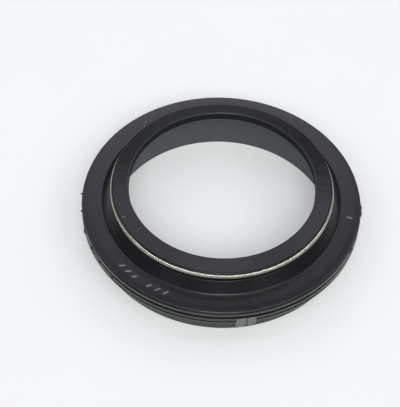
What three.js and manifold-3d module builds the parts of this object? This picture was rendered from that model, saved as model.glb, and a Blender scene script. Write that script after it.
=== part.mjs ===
// Fork dust cover: a moulded rubber ring that is pressed into the top of a motorbike's
// fork leg, and the garter spring that holds its wiper lip against the fork tube.
// Millimetres, +Z up. The origin is on the ring's axis, in the plane that the skirt
// stands on, with the wiper lip on top.

import * as THREE from 'three';
import { mergeVertices } from 'three/addons/utils/BufferGeometryUtils.js';
import Module from 'manifold-3d';

// Fork tube that the cover wipes, and the radial room from it to the pressed-in wall
const TUBE_DIAMETER = 37;
const SECTION_WIDTH = 6.7;

// Skirt, pressed into the bore of the fork leg
const SKIRT_DEPTH = 4.8;
const SKIRT_WALL = 3.25;
const SKIRT_BEVEL_HEIGHT = 0.75;
const SKIRT_BEVEL_WIDTH = 0.5;
const BORE_BEVEL = 0.15;

// Flange, which stops on the end of the fork leg. Its top is flat, then falls off to the rim
const FLANGE_OVERHANG = 1.9;
const FLANGE_THICKNESS = 3.55;
const CROWN_WIDTH = 1.8;
const CROWN_RADIUS = 11;
const RIM_INSET = 0.15;
const RIM_TOP_RADIUS = 0.18;
const RIM_SEAT_RADIUS = 0.3;

// Grooves round the rim, left by the mould: the parting line runs between the upper two
const UPPER_GROOVE_LAND = 0.04;
const UPPER_GROOVE_WIDTH = 0.36;
const UPPER_GROOVE_DEPTH = 0.2;
const MIDDLE_GROOVE_WIDTH = 0.64;
const MIDDLE_GROOVE_DEPTH = 0.28;
const LOWER_GROOVE_RISE = 0.75;
const LOWER_GROOVE_WIDTH = 0.36;
const LOWER_GROOVE_DEPTH = 0.14;

// Flared collar between the flange and the lip
const FLARE_ANGLE = 51;
const FLARE_FILLET = 0.45;
const SHOULDER_REACH = 0.22;
const SHOULDER_FALL = 0.08;

// Wiper lip
const LIP_RISE = 4.65;
const LIP_INTERFERENCE = 0.6;
const LIP_LAND_HEIGHT = 1.5;
const LIP_LAND_TAPER = 0.2;
const LIP_WIDTH = 3.13;
const LIP_FALL = 0.7;
const LIP_EDGE_RADIUS = 0.26;
const LIP_EDGE_LAND = 0.04;
const LIP_ROUNDING = 0.15;
const UNDERSIDE_ANGLE = 46;
const HOLLOW_FILLET = 0.8;

// Garter spring in its groove behind the lip
const SPRING_COIL_DIAMETER = 1.24;
const SPRING_CLEARANCE = 0.18;
const SPRING_HOOK_ANGLE = 67;

// Two torn mould tags on the flange's lower edge
const TAG_AZIMUTH = -79.1;
const TAG_GAP = 0.5;
const TAG_ROOT = 0.7;
const TAG_PROUD = 0.12;
const TAG_OVERLAP = 1.4;
const TAG_CORNER = 0.35;
const TAG_BEVEL = 0.12;
const TAGS = [
  { width: 1.8, drop: 1.7 },
  { width: 1.4, drop: 0.8 },
];

// Facets
const RING_STEPS = 72;
const COIL_STEPS = 10;
const GROOVE_STEPS = 4;
const CORNER_STEPS = 3;
const SEAT_STEPS = 10;

// Radii and heights that follow from the sizes above
const tubeRadius = TUBE_DIAMETER / 2;
const skirtRadius = tubeRadius + SECTION_WIDTH;
const boreRadius = skirtRadius - SKIRT_WALL;
const flangeRadius = skirtRadius + FLANGE_OVERHANG;
const rimRadius = flangeRadius - RIM_INSET;
const flangeTop = SKIRT_DEPTH + FLANGE_THICKNESS;
const crown = {
  startR: rimRadius - CROWN_WIDTH,
  centreZ: flangeTop - CROWN_RADIUS,
  tilt: Math.asin((CROWN_WIDTH - RIM_TOP_RADIUS) / (CROWN_RADIUS - RIM_TOP_RADIUS)),
};
const rimCorner = {
  r: rimRadius - RIM_TOP_RADIUS,
  z: crown.centreZ + (CROWN_RADIUS - RIM_TOP_RADIUS) * Math.cos(crown.tilt),
};
const wipingEdge = {
  r: tubeRadius - LIP_INTERFERENCE,
  z: flangeTop + LIP_RISE - LIP_LAND_HEIGHT,
};
const lipRim = {
  r: wipingEdge.r + LIP_LAND_TAPER,
  z: flangeTop + LIP_RISE,
};
const lipEdge = {
  r: lipRim.r + LIP_WIDTH,
  z: lipRim.z - LIP_FALL,
};
const lipSlope = Math.atan2(LIP_FALL, LIP_WIDTH);
const lipEdgeCorner = {
  r: lipEdge.r - LIP_EDGE_RADIUS,
  z: lipEdge.z - LIP_EDGE_RADIUS * Math.tan(Math.PI / 4 - lipSlope / 2),
};
const coilRadius = SPRING_COIL_DIAMETER / 2;
const seatRadius = coilRadius + SPRING_CLEARANCE;
const springCentre = {
  r: lipEdge.r - seatRadius * Math.cos(radians(SPRING_HOOK_ANGLE)),
  z: lipEdgeCorner.z - LIP_EDGE_LAND - seatRadius * Math.sin(radians(SPRING_HOOK_ANGLE)),
};
const shoulder = {
  r: lipEdge.r + SHOULDER_REACH,
  z: springCentre.z - seatRadius - SHOULDER_FALL,
};
const flareFootRadius = shoulder.r + (shoulder.z - flangeTop) / Math.tan(radians(FLARE_ANGLE));

function radians(degreeAngle) {
  return (degreeAngle * Math.PI) / 180;
}

function degrees(radianAngle) {
  return (radianAngle * 180) / Math.PI;
}

// Points of an arc in the section plane, both ends included
function arc(centreR, centreZ, radius, fromDegrees, toDegrees, steps) {
  const points = [];
  for (let i = 0; i <= steps; i += 1) {
    const angle = radians(fromDegrees + ((toDegrees - fromDegrees) * i) / steps);
    points.push([centreR + radius * Math.cos(angle), centreZ + radius * Math.sin(angle)]);
  }
  return points;
}

// A shallow groove that climbs a wall from one radius to another
function rimGroove(lowZ, highZ, lowR, highR, depth) {
  const points = [];
  for (let i = 0; i <= GROOVE_STEPS; i += 1) {
    const t = i / GROOVE_STEPS;
    const wallR = lowR + (highR - lowR) * t;
    points.push([wallR - depth * Math.sin(Math.PI * t), lowZ + (highZ - lowZ) * t]);
  }
  return points;
}

function skirtSection() {
  return [
    [boreRadius + BORE_BEVEL, 0],
    [skirtRadius - SKIRT_BEVEL_WIDTH, 0],
    [skirtRadius, SKIRT_BEVEL_HEIGHT],
    [skirtRadius, SKIRT_DEPTH],
  ];
}

// The flange's rim, from its seat up to the corner below its top
function rimSection() {
  const lower = SKIRT_DEPTH + LOWER_GROOVE_RISE;
  const upper = rimCorner.z - UPPER_GROOVE_LAND - UPPER_GROOVE_WIDTH / 2;
  const middle = (lower + upper) / 2;
  const groove = (centre, width, highR, depth) =>
    rimGroove(centre - width / 2, centre + width / 2, flangeRadius, highR, depth);
  const seatR = flangeRadius - RIM_SEAT_RADIUS;
  return [
    ...arc(seatR, SKIRT_DEPTH + RIM_SEAT_RADIUS, RIM_SEAT_RADIUS, -90, 0, CORNER_STEPS),
    ...groove(lower, LOWER_GROOVE_WIDTH, flangeRadius, LOWER_GROOVE_DEPTH),
    ...groove(middle, MIDDLE_GROOVE_WIDTH, flangeRadius, MIDDLE_GROOVE_DEPTH),
    ...groove(upper, UPPER_GROOVE_WIDTH, rimRadius, UPPER_GROOVE_DEPTH),
  ];
}

// The rim's top corner runs on into the crown, and the crown into the flat top
function flangeTopSection() {
  const meeting = 90 - degrees(crown.tilt);
  return [
    ...arc(rimCorner.r, rimCorner.z, RIM_TOP_RADIUS, 0, meeting, CORNER_STEPS),
    ...arc(crown.startR, crown.centreZ, CROWN_RADIUS, meeting, 90, CORNER_STEPS).slice(1),
  ];
}

// The fillet at the foot of the flare, its shoulder, and the round seat for the spring
function collarSection() {
  const filletReach = FLARE_FILLET * Math.tan(radians(FLARE_ANGLE) / 2);
  const filletR = flareFootRadius + filletReach;
  const filletZ = flangeTop + FLARE_FILLET;
  return [
    ...arc(filletR, filletZ, FLARE_FILLET, 270, 270 - FLARE_ANGLE, CORNER_STEPS),
    [shoulder.r, shoulder.z],
    ...arc(springCentre.r, springCentre.z, seatRadius, 270, SPRING_HOOK_ANGLE, SEAT_STEPS),
  ];
}

// The lip's outer edge, rounded into its sloping top
function lipEdgeSection() {
  const meeting = 90 - degrees(lipSlope);
  return arc(lipEdgeCorner.r, lipEdgeCorner.z, LIP_EDGE_RADIUS, 0, meeting, CORNER_STEPS);
}

// The lip's rim, the steep land down to the wiping edge, and the hollow below
function lipSection() {
  const slope = radians(UNDERSIDE_ANGLE);
  const hollowZ = wipingEdge.z - (boreRadius - wipingEdge.r) * Math.tan(slope);
  const reach = HOLLOW_FILLET * Math.tan((Math.PI / 2 - slope) / 2);
  const filletR = boreRadius - HOLLOW_FILLET;
  return [
    ...lipEdgeSection(),
    [lipRim.r + LIP_ROUNDING, lipRim.z],
    [lipRim.r, lipRim.z - LIP_ROUNDING],
    [wipingEdge.r, wipingEdge.z + LIP_ROUNDING],
    [wipingEdge.r + LIP_ROUNDING, wipingEdge.z - LIP_ROUNDING * Math.tan(slope)],
    ...arc(filletR, hollowZ - reach, HOLLOW_FILLET, 90 - UNDERSIDE_ANGLE, 0, CORNER_STEPS),
    [boreRadius, BORE_BEVEL],
  ];
}

// One closed section, walked up the outside and down the inside
function coverSection() {
  const section = [
    ...skirtSection(),
    ...rimSection(),
    ...flangeTopSection(),
    ...collarSection(),
    ...lipSection(),
  ];
  section.push(section[0]);
  return section.map(([r, z]) => new THREE.Vector2(r, z));
}

// A tag is a rounded flap, drawn as it is seen from outside and given its radial thickness
function tagGeometry({ width, drop }, centreAngle) {
  const thickness = TAG_ROOT + TAG_PROUD;
  const top = SKIRT_DEPTH + TAG_OVERLAP;
  const bottom = SKIRT_DEPTH - drop;
  const half = width / 2;
  const outline = new THREE.Shape();
  outline.moveTo(-half, top);
  outline.lineTo(-half, bottom + TAG_CORNER);
  outline.absarc(-half + TAG_CORNER, bottom + TAG_CORNER, TAG_CORNER, Math.PI, 1.5 * Math.PI);
  outline.absarc(half - TAG_CORNER, bottom + TAG_CORNER, TAG_CORNER, 1.5 * Math.PI, 2 * Math.PI);
  outline.lineTo(half, top);
  outline.closePath();
  const flap = new THREE.ExtrudeGeometry(outline, {
    depth: thickness - TAG_BEVEL,
    bevelThickness: TAG_BEVEL,
    bevelSize: TAG_BEVEL,
    bevelOffset: -TAG_BEVEL,
    bevelSegments: 1,
    curveSegments: CORNER_STEPS,
  });
  flap.rotateX(Math.PI / 2);
  flap.rotateZ(Math.PI);
  flap.translate(0, flangeRadius - TAG_ROOT, 0);
  flap.rotateZ(centreAngle - Math.PI / 2);
  return flap;
}

const wasm = await Module();
wasm.setup();

function toSolid(geometry) {
  geometry.deleteAttribute('normal');
  geometry.deleteAttribute('uv');
  const merged = mergeVertices(geometry, 1e-5);
  const mesh = new wasm.Mesh({
    numProp: 3,
    vertProperties: new Float32Array(merged.attributes.position.array),
    triVerts: new Uint32Array(merged.index.array),
  });
  return new wasm.Manifold(mesh);
}

function toGeometry(solid) {
  const mesh = solid.getMesh();
  const geometry = new THREE.BufferGeometry();
  geometry.setAttribute('position', new THREE.BufferAttribute(mesh.vertProperties, 3));
  geometry.setIndex(new THREE.BufferAttribute(mesh.triVerts, 1));
  geometry.computeVertexNormals();
  return geometry;
}

// The tags stand side by side, with the torn gap between them
function tagSolids() {
  const total = TAGS.reduce((sum, tag) => sum + tag.width, 0) + TAG_GAP * (TAGS.length - 1);
  let along = -total / 2;
  return TAGS.map((tag) => {
    const angle = radians(TAG_AZIMUTH) + (along + tag.width / 2) / flangeRadius;
    along += tag.width + TAG_GAP;
    return toSolid(tagGeometry(tag, angle));
  });
}

function coverBody() {
  const ring = new THREE.LatheGeometry(coverSection(), RING_STEPS);
  ring.rotateX(Math.PI / 2);
  const solid = tagSolids().reduce((body, tag) => body.add(tag), toSolid(ring));
  const material = new THREE.MeshStandardMaterial({
    color: 0x2e2e31,
    roughness: 0.5,
    metalness: 0,
  });
  const mesh = new THREE.Mesh(toGeometry(solid), material);
  mesh.name = 'rubber_cover';
  return mesh;
}

// The coil is wound too finely to part its turns here: its ring is the form they fill
function garterSpring() {
  const ring = new THREE.TorusGeometry(springCentre.r, coilRadius, COIL_STEPS, RING_STEPS);
  const material = new THREE.MeshStandardMaterial({
    color: 0xb8b4ad,
    roughness: 0.35,
    metalness: 1,
  });
  const mesh = new THREE.Mesh(ring, material);
  mesh.name = 'garter_spring';
  mesh.position.z = springCentre.z;
  return mesh;
}

const forkDustCover = new THREE.Group();
forkDustCover.add(coverBody(), garterSpring());

export default forkDustCover;
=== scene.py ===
import math
from collections import namedtuple

import bpy
from mathutils import Matrix, Vector, noise


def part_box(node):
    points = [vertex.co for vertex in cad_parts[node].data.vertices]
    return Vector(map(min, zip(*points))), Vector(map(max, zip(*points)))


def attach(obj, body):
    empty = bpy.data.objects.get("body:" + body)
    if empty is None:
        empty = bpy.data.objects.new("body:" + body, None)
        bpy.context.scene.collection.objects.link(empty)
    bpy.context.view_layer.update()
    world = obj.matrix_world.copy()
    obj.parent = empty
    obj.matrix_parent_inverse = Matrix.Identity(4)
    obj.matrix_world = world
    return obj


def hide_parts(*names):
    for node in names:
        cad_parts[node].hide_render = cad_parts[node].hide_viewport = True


# A fork dust cover: a moulded rubber ring that stands on its skirt, with the wiper lip on
# top and a garter spring in its seat behind the lip. Sizes here are in millimetres and
# are turned to metres where a mesh is made.

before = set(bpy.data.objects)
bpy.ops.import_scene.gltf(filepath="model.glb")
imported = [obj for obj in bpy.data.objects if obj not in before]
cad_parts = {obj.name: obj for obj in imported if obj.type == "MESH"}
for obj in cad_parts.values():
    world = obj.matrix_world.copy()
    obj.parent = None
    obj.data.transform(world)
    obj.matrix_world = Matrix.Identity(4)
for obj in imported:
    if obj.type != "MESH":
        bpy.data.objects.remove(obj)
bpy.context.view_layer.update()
MM = 0.001

# Main sizes, from the fixed model
cover_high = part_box("rubber_cover")[1]
spring_low, spring_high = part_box("garter_spring")
FLANGE_RADIUS = cover_high.x / MM
HEIGHT = cover_high.z / MM
COIL_DIAMETER = 1.24
SPRING_RADIUS = spring_high.x / MM - COIL_DIAMETER / 2
SPRING_HEIGHT = (spring_low.z + spring_high.z) / 2 / MM

# Skirt and bore
SKIRT_RADIUS = FLANGE_RADIUS - 1.9
SKIRT_DEPTH = 4.8
SKIRT_BEVEL_HEIGHT = 0.75
SKIRT_BEVEL_WIDTH = 0.5
FOOT_ROUNDING = 0.1
BEVEL_ROUNDING = 0.2
ROOT_ROUNDING = 0.15
BORE_RADIUS = SKIRT_RADIUS - 3.25
BORE_ROUNDING = 0.15

# Flange, whose top is flat and then falls off to the rim
LIP_RISE = 4.65
FLANGE_TOP = HEIGHT - LIP_RISE
RIM_RADIUS = FLANGE_RADIUS - 0.15
RIM_SEAT_RADIUS = 0.3
RIM_TOP_RADIUS = 0.14
CROWN_START = RIM_RADIUS - 1.8
CROWN_RADIUS = 24
CROWN_REACH = RIM_RADIUS - RIM_TOP_RADIUS - CROWN_START
CROWN_TILT = math.asin(CROWN_REACH / (CROWN_RADIUS - RIM_TOP_RADIUS))
CROWN_RISE = (CROWN_RADIUS - RIM_TOP_RADIUS) * math.cos(CROWN_TILT)
RIM_CORNER_HEIGHT = FLANGE_TOP - CROWN_RADIUS + CROWN_RISE

# Grooves round the rim, with steep walls that keep them dark
Groove = namedtuple("Groove", "z width depth")
UPPER_GROOVE = Groove(z=RIM_CORNER_HEIGHT - 0.22, width=0.36, depth=0.32)
LOWER_GROOVE = Groove(z=SKIRT_DEPTH + 0.75, width=0.36, depth=0.26)
MIDDLE_GROOVE = Groove(z=(UPPER_GROOVE.z + LOWER_GROOVE.z) / 2, width=0.64, depth=0.42)
GROOVE_TAPER = 0.05
GROOVE_ROUNDING = 0.04

# Wiper lip, its hollow and the seat that holds the spring
Point = namedtuple("Point", "r z")
LIP_RIM = Point(r=18.1, z=HEIGHT)
LIP_RIM_ROUNDING = 0.12
LIP_EDGE = Point(r=21.23, z=HEIGHT - 0.7)
LIP_EDGE_RADIUS = 0.26
WIPING_EDGE = Point(r=17.9, z=HEIGHT - 1.5)
WIPING_EDGE_ROUNDING = 0.05
HOLLOW_SLOPE = 46
HOLLOW_FILLET = 0.8
SEAT_RADIUS = COIL_DIAMETER / 2 + 0.18
SEAT_HOOK_ANGLE = 67

# Flared collar between the flange and the lip
SHOULDER = Point(r=LIP_EDGE.r + 0.22, z=SPRING_HEIGHT - SEAT_RADIUS - 0.08)
SHOULDER_ROUNDING = 0.14
FLARE_ANGLE = 51
FLARE_FILLET = 0.45
FLARE_SPREAD = (SHOULDER.z - FLANGE_TOP) / math.tan(math.radians(FLARE_ANGLE))
FLARE_FOOT = Point(r=SHOULDER.r + FLARE_SPREAD, z=FLANGE_TOP)

# Fineness of the ring's mesh
RING_STEPS = 510
ROUNDING_STEPS = 4
GROOVE_ROUNDING_STEPS = 2
RIDGE_STEPS = 4
RIM_SEAT_STEPS = 6
RIM_TOP_STEPS = 8
CROWN_STEPS = 6
SEAT_STEPS = 16
SUPPORT = 0.12

Station = namedtuple("Station", "r z zone share")


def between(start, end, share):
    return (start[0] + (end[0] - start[0]) * share, start[1] + (end[1] - start[1]) * share)


def arc(centre_r, centre_z, radius, start, end, steps):
    """Points of an arc in the section plane, in degrees, both ends included"""
    points = []
    for i in range(steps + 1):
        angle = math.radians(start + (end - start) * i / steps)
        points.append((centre_r + radius * math.cos(angle), centre_z + radius * math.sin(angle)))
    return points


def rounded(before, corner, after, radius, steps=ROUNDING_STEPS, support=SUPPORT):
    """An arc in place of a corner, with a point beside each end that keeps the flats flat"""
    corner = Vector(corner)
    back = (Vector(before) - corner).normalized()
    ahead = (Vector(after) - corner).normalized()
    half = back.angle(ahead) / 2
    reach = radius / math.tan(half)
    centre = corner + (back + ahead).normalized() * radius / math.sin(half)
    first = corner + back * reach - centre
    last = corner + ahead * reach - centre
    points = [corner + back * (reach + support)]
    for i in range(steps + 1):
        mixed = first.lerp(last, i / steps)
        points.append(centre + mixed.normalized() * radius)
    points.append(corner + ahead * (reach + support))
    return [tuple(point) for point in points]


def stretch(zone, points, shares=None):
    """Stations of one zone; share says how far a point is into its groove or ridge"""
    shares = shares or [0.0] * len(points)
    return [Station(r, z, zone, share) for (r, z), share in zip(points, shares)]


def skirt_stations():
    foot_inner = (BORE_RADIUS, 0)
    foot_outer = (SKIRT_RADIUS - SKIRT_BEVEL_WIDTH, 0)
    bevel_top = (SKIRT_RADIUS, SKIRT_BEVEL_HEIGHT)
    root = (SKIRT_RADIUS, SKIRT_DEPTH)
    seat = (FLANGE_RADIUS - RIM_SEAT_RADIUS, SKIRT_DEPTH)
    points = rounded(foot_inner, foot_outer, bevel_top, FOOT_ROUNDING)
    points += rounded(foot_outer, bevel_top, root, BEVEL_ROUNDING)
    points += rounded(bevel_top, root, seat, ROOT_ROUNDING)
    points.append(seat)
    return stretch("skirt", points)


def groove_stations(groove, high_radius):
    """A flat-bottomed groove from its lower to its upper lip, every corner just rounded"""
    low = groove.z - groove.width / 2
    high = groove.z + groove.width / 2
    bottom = FLANGE_RADIUS - groove.depth
    corners = [
        (FLANGE_RADIUS, low - 1),
        (FLANGE_RADIUS, low),
        (bottom, low + GROOVE_TAPER),
        (bottom, high - GROOVE_TAPER),
        (high_radius, high),
        (high_radius, high + 1),
    ]
    points = []
    for three_corners in zip(corners, corners[1:], corners[2:]):
        points += rounded(
            *three_corners, GROOVE_ROUNDING, steps=GROOVE_ROUNDING_STEPS, support=GROOVE_ROUNDING
        )
    shares = [min(max((FLANGE_RADIUS - r) / groove.depth, 0), 1) for r, z in points]
    return stretch("groove", points, shares)


def ridge_stations(low_z, high_z):
    """The standing band between two grooves, where the mould leaves its flash"""
    inner_steps = range(1, RIDGE_STEPS)
    points = [(FLANGE_RADIUS, low_z + (high_z - low_z) * i / RIDGE_STEPS) for i in inner_steps]
    shares = [math.sin(math.pi * i / RIDGE_STEPS) for i in inner_steps]
    return stretch("ridge", points, shares)


def rim_stations():
    """From the flange's lower corner up over its grooves to the flat of its top"""
    seat_r = FLANGE_RADIUS - RIM_SEAT_RADIUS
    seat_z = SKIRT_DEPTH + RIM_SEAT_RADIUS
    low_corner = arc(seat_r, seat_z, RIM_SEAT_RADIUS, -90, 0, RIM_SEAT_STEPS)[1:]
    meeting = 90 - math.degrees(CROWN_TILT)
    top_r = RIM_RADIUS - RIM_TOP_RADIUS
    top_corner = arc(top_r, RIM_CORNER_HEIGHT, RIM_TOP_RADIUS, 0, meeting, RIM_TOP_STEPS)
    crown_z = FLANGE_TOP - CROWN_RADIUS
    crown = arc(CROWN_START, crown_z, CROWN_RADIUS, meeting, 90, CROWN_STEPS)[1:]
    low_ridge = (
        LOWER_GROOVE.z + LOWER_GROOVE.width / 2,
        MIDDLE_GROOVE.z - MIDDLE_GROOVE.width / 2,
    )
    parting_ridge = (
        MIDDLE_GROOVE.z + MIDDLE_GROOVE.width / 2,
        UPPER_GROOVE.z - UPPER_GROOVE.width / 2,
    )
    stations = stretch("rim", low_corner)
    stations += groove_stations(LOWER_GROOVE, FLANGE_RADIUS)
    stations += ridge_stations(*low_ridge)
    stations += groove_stations(MIDDLE_GROOVE, FLANGE_RADIUS)
    stations += ridge_stations(*parting_ridge)
    stations += groove_stations(UPPER_GROOVE, RIM_RADIUS)
    stations += stretch("rim", top_corner + crown)
    return stations


def collar_stations():
    """From the flat of the flange over the flare and its shoulder into the spring's seat"""
    crown_start = (CROWN_START, FLANGE_TOP)
    seat_start = (SPRING_RADIUS, SPRING_HEIGHT - SEAT_RADIUS)
    flange = [between(FLARE_FOOT, crown_start, share) for share in (0.75, 0.5)]
    fillet = rounded(crown_start, FLARE_FOOT, SHOULDER, FLARE_FILLET)
    points = [between(FLARE_FOOT, SHOULDER, 0.5)]
    points += rounded(FLARE_FOOT, SHOULDER, seat_start, SHOULDER_ROUNDING)
    points += arc(SPRING_RADIUS, SPRING_HEIGHT, SEAT_RADIUS, 270, SEAT_HOOK_ANGLE, SEAT_STEPS)
    middle = len(fillet) // 2
    return stretch("rim", flange + fillet[:middle]) + stretch("collar", fillet[middle:] + points)


def lip_stations():
    """From the seat's hook over the lip and its wiping edge, and down the bore to the foot"""
    hook = math.radians(SEAT_HOOK_ANGLE)
    seat_end = (
        SPRING_RADIUS + SEAT_RADIUS * math.cos(hook),
        SPRING_HEIGHT + SEAT_RADIUS * math.sin(hook),
    )
    hollow_drop = (BORE_RADIUS - WIPING_EDGE.r) * math.tan(math.radians(HOLLOW_SLOPE))
    bore_top = Point(BORE_RADIUS, WIPING_EDGE.z - hollow_drop)
    bore_foot = Point(BORE_RADIUS, 0)
    outer = rounded(seat_end, LIP_EDGE, LIP_RIM, LIP_EDGE_RADIUS)[1:]
    top = [between(LIP_EDGE, LIP_RIM, share) for share in (0.35, 0.65)]
    top += rounded(LIP_EDGE, LIP_RIM, WIPING_EDGE, LIP_RIM_ROUNDING)
    land = rounded(LIP_RIM, WIPING_EDGE, bore_top, WIPING_EDGE_ROUNDING)
    hollow = rounded(WIPING_EDGE, bore_top, bore_foot, HOLLOW_FILLET)
    bore = [(BORE_RADIUS, bore_top.z * share) for share in (0.7, 0.5, 0.3, 0.15)]
    bore += rounded(bore_top, bore_foot, (SKIRT_RADIUS, 0), BORE_ROUNDING)
    stations = stretch("edge", outer[:-1])
    stations += stretch("lip", outer[-1:] + top[:-1])
    stations += stretch("land", top[-1:] + land)
    stations += stretch("bore", hollow + bore)
    return stations


# Stretches of the rim where the flash tore out of the middle groove: from, to, extra depth.
# The fade at their ends is in degrees too.
TORN_GROOVE = [(-126, -122.5, 0.25), (-114.5, -111.5, 0.25), (-105, -97, 0.3), (-84, -66, 0.3)]
TORN_FADE = 0.8

# The moulding's unevenness: how far each kind reaches, how fast its noise changes round the
# ring, and the lane that it reads in the noise field
LANE_PER_HEIGHT = 0.7
LANE_PER_RADIUS = 0.3
RAGGED_REACH = 0.035
RAGGED_PACE = 0.9
FINE_RAGGED_SHARE = 0.5
FINE_RAGGED_PACE = 2.4
MIDDLE_EXTRA_DEPTH = 0.06
MIDDLE_WAVER = 0.1
MIDDLE_PACE = 0.35
MIDDLE_LANE = 3.0
FLASH_REACH = 0.16
FLASH_PACE = 0.5
FLASH_LANE = 9.0
FLASH_THRESHOLD = 0.1
LIP_WAVER = 0.02
LIP_PACE = 0.6
EDGE_WAVER = 0.04
EDGE_PACE = 1.3
EDGE_LANE = 1.0


def ring_noise(azimuth, pace, lane):
    """Noise that runs round the ring and meets itself"""
    reach = FLANGE_RADIUS * pace
    return noise.noise(Vector((reach * math.cos(azimuth), reach * math.sin(azimuth), lane)))


def torn_depth(degrees):
    depth = 0.0
    for start, end, extra in TORN_GROOVE:
        inside = min(degrees - start, end - degrees)
        depth += extra * min(max(inside / TORN_FADE, 0.0), 1.0)
    return depth


def worn(station, azimuth):
    """The radius and height of a station at one azimuth, with the moulding's unevenness"""
    r, z = station.r, station.z
    lane = z * LANE_PER_HEIGHT + r * LANE_PER_RADIUS
    if station.zone in ("groove", "ridge"):
        ragged = ring_noise(azimuth, RAGGED_PACE, lane)
        ragged += FINE_RAGGED_SHARE * ring_noise(azimuth, FINE_RAGGED_PACE, lane)
        r += RAGGED_REACH * ragged
    if station.zone == "groove" and abs(z - MIDDLE_GROOVE.z) < MIDDLE_GROOVE.width / 2:
        waver = MIDDLE_WAVER * ring_noise(azimuth, MIDDLE_PACE, MIDDLE_LANE)
        r -= station.share * (MIDDLE_EXTRA_DEPTH + waver)
        r -= station.share * torn_depth(math.degrees(azimuth))
    if station.zone == "ridge":
        flash = ring_noise(azimuth, FLASH_PACE, lane + FLASH_LANE) - FLASH_THRESHOLD
        r += FLASH_REACH * station.share * max(flash, 0.0)
    if station.zone in ("lip", "edge"):
        z += LIP_WAVER * ring_noise(azimuth, LIP_PACE, lane)
    if station.zone == "edge":
        r += EDGE_WAVER * ring_noise(azimuth, EDGE_PACE, EDGE_LANE)
    return r, z


def ring_vertices(stations):
    vertices = []
    for i in range(RING_STEPS):
        azimuth = 2 * math.pi * i / RING_STEPS
        if azimuth > math.pi:
            azimuth -= 2 * math.pi
        for station in stations:
            r, z = worn(station, azimuth)
            vertices.append((r * math.cos(azimuth) * MM, r * math.sin(azimuth) * MM, z * MM))
    return vertices


def grid_faces(rows, columns, first=0, closed=True):
    """Quads between rows of vertices, each row a loop; closed joins the last to the first"""
    faces = []
    for i in range(rows if closed else rows - 1):
        row = first + i * columns
        following = first + (i + 1) % rows * columns
        for j in range(columns):
            beside = (j + 1) % columns
            faces.append((row + j, following + j, following + beside, row + beside))
    return faces


def add_piece(name, vertices, faces, materials, stands_for=None):
    """A smooth mesh that rides on the part's one body"""
    mesh = bpy.data.meshes.new(name)
    mesh.from_pydata(vertices, [], faces)
    mesh.shade_smooth()
    for material in materials:
        mesh.materials.append(material)
    piece = bpy.data.objects.new(name, mesh)
    bpy.context.scene.collection.objects.link(piece)
    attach(piece, "root")
    if stands_for:
        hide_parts(stands_for)
    return piece


def make_cover(rubber, land, bore, collar):
    stations = skirt_stations() + rim_stations() + collar_stations() + lip_stations()
    piece = add_piece(
        "moulded_ring",
        ring_vertices(stations),
        grid_faces(RING_STEPS, len(stations)),
        (rubber, land, bore, collar),
        stands_for="rubber_cover",
    )
    finishes = {"land": 1, "bore": 2, "collar": 3, "edge": 3}
    indexes = [finishes.get(station.zone, 0) for station in stations]
    piece.data.polygons.foreach_set("material_index", indexes * RING_STEPS)


# Garter spring: a close-wound coil bent into a ring
WIRE_DIAMETER = 0.21
COIL_TURNS = 600
TURN_STEPS = 14
WIRE_SIDES = 6


def make_spring(steel):
    steps = COIL_TURNS * TURN_STEPS
    helix_radius = COIL_DIAMETER / 2 - WIRE_DIAMETER / 2
    wire_radius = WIRE_DIAMETER / 2
    vertices = []
    for i in range(steps):
        azimuth = 2 * math.pi * i / steps
        turn = 2 * math.pi * i / TURN_STEPS
        outward = Vector((math.cos(azimuth), math.sin(azimuth), 0))
        tangent = Vector((-math.sin(azimuth), math.cos(azimuth), 0))
        spoke = outward * math.cos(turn) + Vector((0, 0, math.sin(turn)))
        centre = outward * SPRING_RADIUS + Vector((0, 0, SPRING_HEIGHT)) + spoke * helix_radius
        for j in range(WIRE_SIDES):
            angle = 2 * math.pi * j / WIRE_SIDES
            side = spoke * math.cos(angle) + tangent * math.sin(angle)
            vertices.append(tuple((centre + side * wire_radius) * MM))
    add_piece(
        "wound_spring",
        vertices,
        grid_faces(steps, WIRE_SIDES),
        (steel,),
        stands_for="garter_spring",
    )


# Lumps on the rim's wall. Length runs along the rim, and slant lifts the lower edge at the
# end that the azimuth grows towards. The grains say how fine their ragged surface is.
Lump = namedtuple("Lump", "azimuth radius z length height proud slant")
LUMP_ROWS = 10
LUMP_COLUMNS = 20
OUTWARD_GRAIN = 3.1
UPWARD_GRAIN = 2.3


def fuller(value, squareness):
    """A sine or cosine pushed towards 1 or -1, more so as squareness falls"""
    return math.copysign(abs(value) ** squareness, value)


def lump_vertices(lump, squareness, roughness):
    """A rounded slab whose corners are fuller as squareness falls"""
    azimuth = math.radians(lump.azimuth)
    outward = Vector((math.cos(azimuth), math.sin(azimuth), 0))
    along = Vector((-math.sin(azimuth), math.cos(azimuth), 0))
    up = Vector((0, 0, 1))
    centre = outward * lump.radius + up * lump.z
    vertices = []
    for i in range(LUMP_ROWS + 1):
        polar = math.pi * i / LUMP_ROWS
        side = fuller(math.sin(polar), squareness)
        front = fuller(math.cos(polar), squareness)
        for j in range(LUMP_COLUMNS):
            turn = 2 * math.pi * j / LUMP_COLUMNS
            x = side * fuller(math.cos(turn), squareness)
            y = side * fuller(math.sin(turn), squareness)
            point = Vector((x, y, front))
            place = centre + along * point.x * lump.length / 2
            place += up * point.y * lump.height / 2 + outward * point.z * lump.proud
            place += up * lump.slant * (1 + point.x) / 2 * (1 - point.y) / 2
            ragged = outward * roughness * noise.noise(place * OUTWARD_GRAIN)
            ragged += up * roughness * noise.noise(place * UPWARD_GRAIN)
            vertices.append(tuple((place + ragged) * MM))
    return vertices


def add_lumps(name, lumps, material, squareness, roughness):
    vertices = []
    faces = []
    for lump in lumps:
        faces += grid_faces(LUMP_ROWS + 1, LUMP_COLUMNS, first=len(vertices), closed=False)
        vertices += lump_vertices(lump, squareness, roughness)
    add_piece(name, vertices, faces, (material,))


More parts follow.
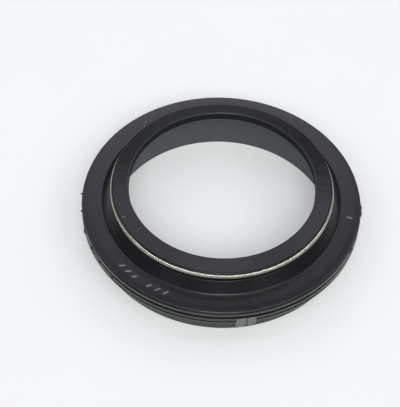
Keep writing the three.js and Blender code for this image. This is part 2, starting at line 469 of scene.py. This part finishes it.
# Two torn tags that hang from the flange's lower edge: azimuth, width, drop below the
# flange, and how much shorter the tag is at its right end
TAGS = [(-81.35, 2.05, 1.6, 1.0), (-77.2, 1.75, 0.9, 0.1)]
TAG_OVERLAP = 1.6
TAG_ROOT = 0.7
TAG_PROUD = 0.12
TAG_SQUARENESS = 0.4
TAG_ROUGHNESS = 0.05


def make_tags(material):
    depth = (TAG_ROOT + TAG_PROUD) / 2
    radius = FLANGE_RADIUS + TAG_PROUD - depth
    lumps = []
    for azimuth, width, drop, slant in TAGS:
        height = drop + TAG_OVERLAP
        middle = SKIRT_DEPTH + TAG_OVERLAP - height / 2
        lumps.append(Lump(azimuth, radius, middle, width, height, depth, slant))
    add_lumps("torn_tags", lumps, material, TAG_SQUARENESS, TAG_ROUGHNESS)


# Nibs of torn flash on the rim's two ridges: azimuth, height, length, proud
PARTING_HEIGHT = 7.42
LOW_RIDGE_HEIGHT = 6.0
NIBS = [
    (178.5, PARTING_HEIGHT, 0.35, 0.35),
    (-172.5, PARTING_HEIGHT, 0.6, 0.2),
    (-163.6, LOW_RIDGE_HEIGHT + 0.3, 1.5, 0.28),
    (-154.2, LOW_RIDGE_HEIGHT + 0.4, 1.0, 0.28),
    (-151.4, LOW_RIDGE_HEIGHT + 0.7, 0.5, 0.2),
    (-147.0, LOW_RIDGE_HEIGHT, 0.7, 0.15),
    (-138.0, LOW_RIDGE_HEIGHT, 0.9, 0.15),
    (-3.2, PARTING_HEIGHT, 3.2, 0.22),
    (-24.5, PARTING_HEIGHT, 1.6, 0.2),
]
NIB_HEIGHT = 0.32
NIB_ROOT = 0.05
NIB_SQUARENESS = 0.8
NIB_ROUGHNESS = 0.08


def make_flash(material):
    radius = FLANGE_RADIUS - NIB_ROOT
    lumps = []
    for azimuth, z, length, proud in NIBS:
        lumps.append(Lump(azimuth, radius, z, length, NIB_HEIGHT, proud + NIB_ROOT, 0))
    add_lumps("mould_flash", lumps, material, NIB_SQUARENESS, NIB_ROUGHNESS)


# Marks that lie flat on the ring. Turn is from the tangent, in degrees.
Mark = namedtuple("Mark", "azimuth radius length turn")
MARK_ROWS = 8
MARK_COLUMNS = 28
MARK_ROOT = 0.02
MARK_SQUARENESS = 0.5

# Plain raised index bars on the flange; their pale colour is a painted highlight
BAR_WIDTH = 0.38
BAR_RISE = 0.22
BARS = [
    Mark(-137.0, 24.95, 1.3, 50),
    Mark(-133.0, 25.0, 1.3, 50),
    Mark(-129.0, 25.05, 1.3, 50),
    Mark(-121.3, 25.05, 1.3, 50),
    Mark(-117.3, 25.0, 1.3, 50),
    Mark(-113.4, 24.95, 1.3, 50),
    Mark(-9.4, 24.9, 1.3, 90),
]

# Scuffs on the flange and on the lip
SCUFF_WIDTH = 0.2
SCUFF_RISE = 0.05
FLANGE_SCUFFS = [Mark(130.8, 24.4, 0.9, 70), Mark(129.0, 24.9, 0.6, 80)]
LIP_SCUFF_HEIGHT = HEIGHT - 0.47
LIP_SCUFFS = [Mark(-154.2, 20.2, 1.0, 60)]


def mark_vertices(mark, width, rise, base):
    """A low dome of rounded-oblong plan, rooted a little below the surface it stands on"""
    place = Matrix.Rotation(math.radians(mark.azimuth), 3, "Z")
    spin = Matrix.Rotation(math.radians(mark.turn + 90), 3, "Z")
    vertices = []
    for i in range(MARK_ROWS + 1):
        polar = math.pi / 2 * i / MARK_ROWS
        reach = math.sin(polar)
        z = base - MARK_ROOT + (rise + MARK_ROOT) * math.cos(polar)
        for j in range(MARK_COLUMNS):
            angle = 2 * math.pi * j / MARK_COLUMNS
            x = reach * fuller(math.cos(angle), MARK_SQUARENESS)
            y = reach * fuller(math.sin(angle), MARK_SQUARENESS)
            flat = spin @ Vector((x * mark.length / 2, y * width / 2, 0))
            point = place @ (flat + Vector((mark.radius, 0, 0)))
            vertices.append((point.x * MM, point.y * MM, z * MM))
    return vertices


def make_marks(name, marks, width, rise, base, material):
    vertices = []
    faces = []
    for mark in marks:
        first = len(vertices)
        last_row = first + MARK_ROWS * MARK_COLUMNS
        vertices += mark_vertices(mark, width, rise, base)
        faces += grid_faces(MARK_ROWS + 1, MARK_COLUMNS, first, closed=False)
        faces.append(tuple(last_row + j for j in reversed(range(MARK_COLUMNS))))
    add_piece(name, vertices, faces, (material,))


def new_material(name, colour, roughness, specular=0.5):
    """A plain shader; a texture linked to its colour or roughness takes that value's place"""
    material = bpy.data.materials.new(name)
    material.use_nodes = True
    tree = material.node_tree
    shader = tree.nodes["Principled BSDF"]
    shader.inputs["Base Color"].default_value = (*colour, 1)
    shader.inputs["Roughness"].default_value = roughness
    shader.inputs["Specular IOR Level"].default_value = specular
    return material, tree, shader


def add_node(tree, kind, values=None, **settings):
    """A shader node with its settings and the values of its sockets"""
    node = tree.nodes.new(kind)
    for name, value in settings.items():
        setattr(node, name, value)
    for name, value in (values or {}).items():
        node.inputs[name].default_value = value
    return node


def object_place(tree):
    return add_node(tree, "ShaderNodeTexCoord").outputs["Object"]


def ring_place(tree):
    """Radius and height only, so that what reads it runs round the ring in even lines"""
    place = object_place(tree)
    flat = add_node(tree, "ShaderNodeVectorMath", {1: (1, 1, 0)}, operation="MULTIPLY")
    length = add_node(tree, "ShaderNodeVectorMath", operation="LENGTH")
    split = add_node(tree, "ShaderNodeSeparateXYZ")
    join = add_node(tree, "ShaderNodeCombineXYZ")
    tree.links.new(place, flat.inputs[0])
    tree.links.new(flat.outputs["Vector"], length.inputs[0])
    tree.links.new(place, split.inputs[0])
    tree.links.new(length.outputs["Value"], join.inputs["X"])
    tree.links.new(split.outputs["Z"], join.inputs["Z"])
    return join.outputs["Vector"]


def noise_value(tree, place, feature, detail=4.0, roughness=0.55):
    """Noise whose patches are about one feature long, in millimetres"""
    values = {"Scale": 1 / (feature * MM), "Detail": detail, "Roughness": roughness}
    texture = add_node(tree, "ShaderNodeTexNoise", values)
    tree.links.new(place, texture.inputs["Vector"])
    return texture.outputs["Fac"]


# The noise lies mostly between these two values
NOISE_LOW = 0.3
NOISE_HIGH = 0.7


def vary_colour(tree, shader, source, low, high):
    """The shader's colour, between two ends that follow a noise"""
    node = add_node(tree, "ShaderNodeValToRGB")
    node.color_ramp.elements[0].position = NOISE_LOW
    node.color_ramp.elements[1].position = NOISE_HIGH
    node.color_ramp.elements[0].color = (*low, 1)
    node.color_ramp.elements[1].color = (*high, 1)
    tree.links.new(source, node.inputs["Fac"])
    tree.links.new(node.outputs["Color"], shader.inputs["Base Color"])


def vary_roughness(tree, shader, source, low, high):
    """The shader's roughness, between two ends that follow a noise"""
    ends = {"From Min": NOISE_LOW, "From Max": NOISE_HIGH, "To Min": low, "To Max": high}
    node = add_node(tree, "ShaderNodeMapRange", ends)
    tree.links.new(source, node.inputs["Value"])
    tree.links.new(node.outputs["Result"], shader.inputs["Roughness"])


def add_bump(tree, shader, source, height, strength, below=None):
    """A bump of that height in millimetres, on top of the one below it"""
    bump = add_node(tree, "ShaderNodeBump", {"Strength": strength, "Distance": height * MM})
    tree.links.new(source, bump.inputs["Height"])
    if below:
        tree.links.new(below, bump.inputs["Normal"])
    tree.links.new(bump.outputs["Normal"], shader.inputs["Normal"])
    return bump.outputs["Normal"]


RUBBER_SHEEN = 0.65
COLLAR_SHEEN = 0.28


def rubber_material(name, sheen):
    """Black rubber off a turned mould: faint rings, fine grain and soft patches"""
    material, tree, shader = new_material(name, (0.008, 0.008, 0.009), 0.25, sheen)
    place = object_place(tree)
    rings = noise_value(tree, ring_place(tree), 0.22, detail=3.0)
    patches = noise_value(tree, place, 4.0)
    grain = noise_value(tree, place, 0.09, detail=3.0)
    vary_colour(tree, shader, patches, (0.0068, 0.0066, 0.0078), (0.0095, 0.0091, 0.0105))
    vary_roughness(tree, shader, rings, 0.2, 0.3)
    below = add_bump(tree, shader, rings, 0.006, 0.5)
    add_bump(tree, shader, grain, 0.004, 0.5, below)
    return material


def land_material():
    """The trimmed face inside the lip's rim, matt where the knife passed"""
    material, tree, shader = new_material("trimmed_rubber", (0.009, 0.009, 0.01), 0.7, 0.14)
    cuts = noise_value(tree, ring_place(tree), 0.1, detail=3.0)
    grain = noise_value(tree, object_place(tree), 0.15)
    vary_colour(tree, shader, grain, (0.007, 0.007, 0.008), (0.013, 0.013, 0.014))
    vary_roughness(tree, shader, cuts, 0.6, 0.8)
    add_bump(tree, shader, cuts, 0.01, 0.6)
    return material


def bore_material():
    """The skirt's inner wall and the hollow, in fine rings; its pale bluish colour is painted
    light, standing in for light bounced up from the floor
    """
    material, tree, shader = new_material("bore_rubber_painted_bounce", (0.045, 0.052, 0.06), 0.42)
    rings = noise_value(tree, ring_place(tree), 0.35, detail=4.0, roughness=0.7)
    patches = noise_value(tree, object_place(tree), 3.0)
    # Colour well above the moulded rubber's: painted bounce light from the floor, varied by the
    # fine rings
    vary_colour(tree, shader, rings, (0.036, 0.042, 0.049), (0.058, 0.066, 0.074))
    vary_roughness(tree, shader, patches, 0.36, 0.5)
    add_bump(tree, shader, rings, 0.01, 0.5)
    return material


def torn_and_highlight_material():
    """Rubber that has been torn and rubbed, paler and duller than the moulded face; on the index
    bars the same pale colour is a painted highlight
    """
    material, tree, shader = new_material("torn_rubber_and_painted_highlight", (0.04, 0.038, 0.04), 0.6)
    grain = noise_value(tree, object_place(tree), 0.3)
    vary_colour(tree, shader, grain, (0.09, 0.088, 0.092), (0.19, 0.185, 0.19))
    add_bump(tree, shader, grain, 0.03, 0.6)
    return material


def steel_material():
    """Bright drawn wire"""
    material, tree, shader = new_material("spring_steel", (0.62, 0.59, 0.54), 0.3)
    shader.inputs["Metallic"].default_value = 1
    place = object_place(tree)
    tint = noise_value(tree, place, 3.5, detail=2.0)
    draw_lines = noise_value(tree, place, 0.05, detail=2.0)
    vary_colour(tree, shader, tint, (0.56, 0.53, 0.48), (0.68, 0.65, 0.6))
    vary_roughness(tree, shader, draw_lines, 0.15, 0.25)
    return material


# How much of the paper shows as plain white
PAPER_FILL = 0.25


def paper_material():
    """White paper with a share of plain white where it is seen, so its shadows stay light"""
    material, tree, shader = new_material("white_paper", (0.93, 0.94, 0.945), 0.8, 0.2)
    patches = noise_value(tree, object_place(tree), 40.0, detail=3.0)
    vary_colour(tree, shader, patches, (0.86, 0.865, 0.85), (0.88, 0.88, 0.865))
    glow = {"Color": (0.905, 0.925, 0.935, 1), "Strength": 1}
    white = add_node(tree, "ShaderNodeEmission", glow)
    rays = add_node(tree, "ShaderNodeLightPath")
    seen = add_node(tree, "ShaderNodeMath", operation="ADD")
    any_seen = add_node(tree, "ShaderNodeMath", operation="ADD", use_clamp=True)
    share = add_node(tree, "ShaderNodeMath", {1: PAPER_FILL}, operation="MULTIPLY")
    mixed = add_node(tree, "ShaderNodeMixShader")
    surface = tree.nodes["Material Output"].inputs["Surface"]
    tree.links.new(rays.outputs["Is Camera Ray"], seen.inputs[0])
    tree.links.new(rays.outputs["Is Glossy Ray"], seen.inputs[1])
    tree.links.new(seen.outputs["Value"], any_seen.inputs[0])
    tree.links.new(rays.outputs["Is Transmission Ray"], any_seen.inputs[1])
    tree.links.new(any_seen.outputs["Value"], share.inputs[0])
    tree.links.new(share.outputs["Value"], mixed.inputs["Fac"])
    tree.links.new(shader.outputs["BSDF"], mixed.inputs[1])
    tree.links.new(white.outputs["Emission"], mixed.inputs[2])
    tree.links.new(mixed.outputs["Shader"], surface)
    return material


# The floor's reach is in metres
FLOOR_REACH = 3.0
FLOOR_SIDES = 24
FLOOR_DROP = 0.01


def make_floor():
    """A wide sheet just under the skirt's foot"""
    mesh = bpy.data.meshes.new("floor")
    corners = []
    for i in range(FLOOR_SIDES):
        angle = 2 * math.pi * i / FLOOR_SIDES
        x = FLOOR_REACH * math.cos(angle)
        y = FLOOR_REACH * math.sin(angle)
        corners.append((x, y, -FLOOR_DROP * MM))
    mesh.from_pydata(corners, [], [tuple(range(FLOOR_SIDES))])
    mesh.materials.append(paper_material())
    floor = bpy.data.objects.new("floor", mesh)
    bpy.context.scene.collection.objects.link(floor)


# A dim room with a lamp and its two wings on the camera's side, and soft panels behind and
# over the ring: where each light comes from, the angles at which it is full and gone, its
# level and its colour
Light = namedtuple("Light", "azimuth elevation core rim level colour")
ROOM_LEVEL = 0.1
ROOM_COLOUR = (0.97, 1.0, 1.03)
LAMP_COLOUR = (0.97, 1.0, 1.0)
PANEL_COLOUR = (1.0, 0.96, 1.08)
LIGHTS = [
    Light(-89, 48.5, 6, 20, 9.2, LAMP_COLOUR),
    Light(-46, 40, 5, 20, 3.6, LAMP_COLOUR),
    Light(-133, 40, 5, 20, 2.1, LAMP_COLOUR),
    Light(23, 45, 12, 34, 0.92, PANEL_COLOUR),
    Light(154, 47, 12, 34, 0.78, PANEL_COLOUR),
    Light(88, 83, 6, 18, 0.95, PANEL_COLOUR),
    Light(90, 40, 6, 18, 1.2, PANEL_COLOUR),
]


def light_glow(tree, place, light):
    """The light's colour where the sky faces it, fading to nothing at its rim"""
    azimuth = math.radians(light.azimuth)
    elevation = math.radians(light.elevation)
    level_reach = math.cos(elevation)
    east = level_reach * math.cos(azimuth)
    north = level_reach * math.sin(azimuth)
    towards = (east, north, math.sin(elevation))
    facing = add_node(tree, "ShaderNodeVectorMath", {1: towards}, operation="DOT_PRODUCT")
    fade = {
        "From Min": math.cos(math.radians(light.rim)),
        "From Max": math.cos(math.radians(light.core)),
        "To Min": 0,
        "To Max": light.level,
    }
    level = add_node(tree, "ShaderNodeMapRange", fade, interpolation_type="SMOOTHSTEP")
    glow = add_node(tree, "ShaderNodeVectorMath", {0: light.colour}, operation="SCALE")
    tree.links.new(place, facing.inputs[0])
    tree.links.new(facing.outputs["Value"], level.inputs["Value"])
    tree.links.new(level.outputs["Result"], glow.inputs["Scale"])
    return glow.outputs["Vector"]


def light_room():
    """The world: the room's own level, with each light added to what came before"""
    world = bpy.data.worlds.new("studio")
    bpy.context.scene.world = world
    world.use_nodes = True
    tree = world.node_tree
    place = add_node(tree, "ShaderNodeTexCoord").outputs["Generated"]
    room = tuple(ROOM_LEVEL * share for share in ROOM_COLOUR)
    total = None
    for light in LIGHTS:
        adding = add_node(tree, "ShaderNodeVectorMath", {0: room}, operation="ADD")
        if total:
            tree.links.new(total, adding.inputs[0])
        tree.links.new(light_glow(tree, place, light), adding.inputs[1])
        total = adding.outputs["Vector"]
    tree.links.new(total, tree.nodes["Background"].inputs["Color"])


# The photograph's view: how far the ring's centre is, and how far off the aim line it lies.
# The clip start is in metres.
VIEW_ELEVATION = 50.9
VIEW_ROLL = 1.69
VIEW_DISTANCE = 252.8
RING_RIGHT_OF_AIM = 4.167
RING_ABOVE_AIM = 0.897
RING_CENTRE_HEIGHT = 7.965
LENS = 115.0
CLIP_START = 0.01


def set_camera():
    elevation = math.radians(VIEW_ELEVATION)
    roll = math.radians(VIEW_ROLL)
    level_right = Vector((1, 0, 0))
    away = Vector((0, math.cos(elevation), -math.sin(elevation)))
    level_up = level_right.cross(away)
    right = level_right * math.cos(roll) + level_up * math.sin(roll)
    up = level_up * math.cos(roll) - level_right * math.sin(roll)
    centre = Vector((0, 0, RING_CENTRE_HEIGHT))
    eye = centre - away * VIEW_DISTANCE - right * RING_RIGHT_OF_AIM - up * RING_ABOVE_AIM
    data = bpy.data.cameras.new("view")
    data.lens = LENS
    data.clip_start = CLIP_START
    camera = bpy.data.objects.new("view", data)
    turn = Matrix((right, up, -away)).transposed().to_4x4()
    camera.matrix_world = Matrix.Translation(eye * MM) @ turn
    bpy.context.scene.collection.objects.link(camera)
    bpy.context.scene.camera = camera


set_camera()
light_room()
make_floor()
rubber = rubber_material("moulded_rubber", RUBBER_SHEEN)
collar_rubber = rubber_material("collar_rubber", COLLAR_SHEEN)
# Pale rubber: really torn and rubbed on the tags and scuffs, a painted highlight on the index
# bars
torn = torn_and_highlight_material()
make_cover(rubber, land_material(), bore_material(), collar_rubber)
make_spring(steel_material())
make_tags(torn)
make_flash(rubber)
# The bars' pale colour is a painted highlight
make_marks("index_bars", BARS, BAR_WIDTH, BAR_RISE, FLANGE_TOP, torn)
make_marks("flange_scuffs", FLANGE_SCUFFS, SCUFF_WIDTH, SCUFF_RISE, FLANGE_TOP, torn)
make_marks("lip_scuff", LIP_SCUFFS, SCUFF_WIDTH, SCUFF_RISE, LIP_SCUFF_HEIGHT, torn)
bpy.context.scene.view_settings.view_transform = "Standard"
